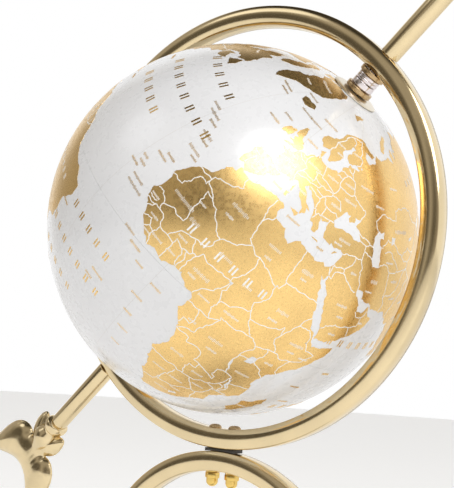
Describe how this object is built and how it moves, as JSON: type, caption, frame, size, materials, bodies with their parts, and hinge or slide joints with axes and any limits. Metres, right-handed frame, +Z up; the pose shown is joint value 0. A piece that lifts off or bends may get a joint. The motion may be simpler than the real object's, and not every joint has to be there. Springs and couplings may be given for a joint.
{
  "type": "desktop globe on stand",
  "caption": "Desk globe spinning on a tilted arrow-shaped axle inside a crowned ring, bolted to a smaller stand ring on a rectangular stone base.",
  "frame": {"origin": "centre of the felt pad's underside, where the base rests on the desk", "axes": "+Z up; both rings lie in the XZ plane with their front faces towards -Y; the arrow points up towards +X"},
  "size_m": [0.3658, 0.2032, 0.4928],
  "materials": {
    "gilt": "polished pale gold plating",
    "yellow_brass": "bright yellow brass",
    "bright_steel": "bright turned steel",
    "dark_saddle": "dull dark shim",
    "globe_skin": "pearl white lacquered print",
    "gold_foil": "metallic gold foil print",
    "print_ink": "fine printed marks",
    "inner_plastic": "moulded plastic",
    "stone": "polished white marble",
    "pad": "felt"
  },
  "bodies": {
    "stand": {"meridian_ring": "gilt", "stand_ring": "gilt", "ring_joint_saddle": "dark_saddle", "ring_joint_screw_left": "yellow_brass", "ring_joint_screw_right": "yellow_brass", "ring_joint_washer_left": "yellow_brass", "ring_joint_washer_right": "yellow_brass", "ring_joint_cap_nut_left": "yellow_brass", "ring_joint_cap_nut_right": "yellow_brass", "base_saddle": "gilt", "base_screw_left": "yellow_brass", "base_screw_right": "yellow_brass", "base_washer_left": "yellow_brass", "base_washer_right": "yellow_brass", "base_cap_nut_left": "yellow_brass", "base_cap_nut_right": "yellow_brass", "base_block": "stone", "base_pad": "pad", "north_short_spacer": "bright_steel", "north_long_spacer": "bright_steel", "north_lock_nut": "bright_steel", "south_thrust_washer": "bright_steel", "north_axle_stud": "bright_steel", "south_axle_stud": "bright_steel", "arrow_front_shaft": "gilt", "arrow_rear_shaft": "gilt", "arrow_head_ferrule": "gilt", "arrow_head": "gilt", "arrow_tail": "gilt"},
    "globe": {"globe_shell_north": "globe_skin", "globe_shell_south": "globe_skin", "equator_band": "inner_plastic", "north_pole_bush": "inner_plastic", "south_pole_bush": "inner_plastic", "north_pole_disc": "yellow_brass", "south_pole_disc": "yellow_brass", "north_pole_boss": "yellow_brass", "south_pole_boss": "yellow_brass"}
  },
  "joints": [
    {"name": "globe_spin", "type": "hinge", "parent": "stand", "child": "globe", "pos_m": [-0.00323, 0, 0.31749], "axis": [0.7254, 0, 0.6884], "continuous": true}
  ]
}
